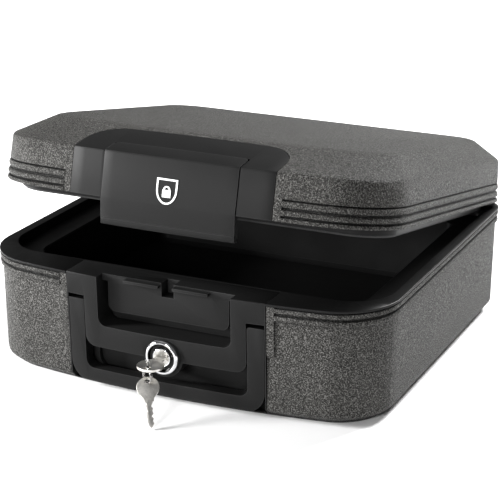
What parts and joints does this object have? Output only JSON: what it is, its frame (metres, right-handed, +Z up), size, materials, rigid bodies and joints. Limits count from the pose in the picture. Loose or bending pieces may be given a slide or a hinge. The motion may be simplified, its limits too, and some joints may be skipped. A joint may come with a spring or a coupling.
{
  "type": "fireproof document box",
  "caption": "Insulated document box with a textured shell, hinged lid standing ajar, snap latch, flush bail handle and key lock.",
  "frame": {"origin": "centre of the base's flat underside", "axes": "+Z up, +Y towards the hinges, -Y towards the lock and the latch, +X to the right seen from the front"},
  "size_m": [0.391, 0.4106, 0.2241],
  "materials": {
    "textured_shell": "grained, satin",
    "satin_panel": "fine satin",
    "black_liner": "fine satin",
    "insulation": "rough, cement-like",
    "seal_rubber": "matt",
    "steel": "zinc plated",
    "lock_chrome": "polished",
    "lock_nickel": "satin",
    "key_nickel": "nickel, worn",
    "badge_white": "printed white"
  },
  "bodies": {
    "base": {"base_shell": "textured_shell", "base_insulation": "insulation", "base_liner": "black_liner", "base_fascia": "satin_panel", "base_fill_plugs": "black_liner", "handle_pins": "steel", "hinge_brackets": "black_liner", "bracket_screws": "steel", "hinge_pins": "steel", "lock_housing": "lock_chrome", "lock_nut": "steel"},
    "lid": {"lid_shell": "textured_shell", "lid_insulation": "insulation", "lid_liner": "black_liner", "lid_gasket": "seal_rubber", "lid_fascia": "satin_panel", "lid_hinge_arms": "black_liner", "arm_screws": "steel", "latch_pin": "steel"},
    "latch": {"latch_cover": "satin_panel", "latch_body": "satin_panel", "latch_screws": "steel", "latch_badge": "badge_white"},
    "handle": {"carry_handle": "satin_panel"},
    "lock": {"lock_plug": "lock_nickel", "lock_cam": "steel", "cam_screw": "steel"},
    "key": {"inserted_key": "key_nickel"}
  },
  "joints": [
    {"name": "lid_hinge", "type": "hinge", "parent": "base", "child": "lid", "pos_m": [0, 0.184, 0.0852], "axis": [-1, 0, 0], "range_deg": [-11.2, 78.8]},
    {"name": "latch_hinge", "type": "hinge", "parent": "lid", "child": "latch", "pos_m": [0, -0.14672, 0.2143], "axis": [-1, 0, 0], "range_deg": [0, 35], "stiffness_Nm_per_rad": 0.05},
    {"name": "handle_swing", "type": "hinge", "parent": "base", "child": "handle", "pos_m": [0, -0.1694, 0.0795], "axis": [-1, 0, 0], "range_deg": [0, 95]},
    {"name": "lock_turn", "type": "hinge", "parent": "base", "child": "lock", "pos_m": [0, -0.17, 0.044], "axis": [0, 1, 0], "range_deg": [0, 90]},
    {"name": "key_slide", "type": "slide", "parent": "lock", "child": "key", "axis": [0, -1, 0], "range_m": [0, 0.03]}
  ]
}
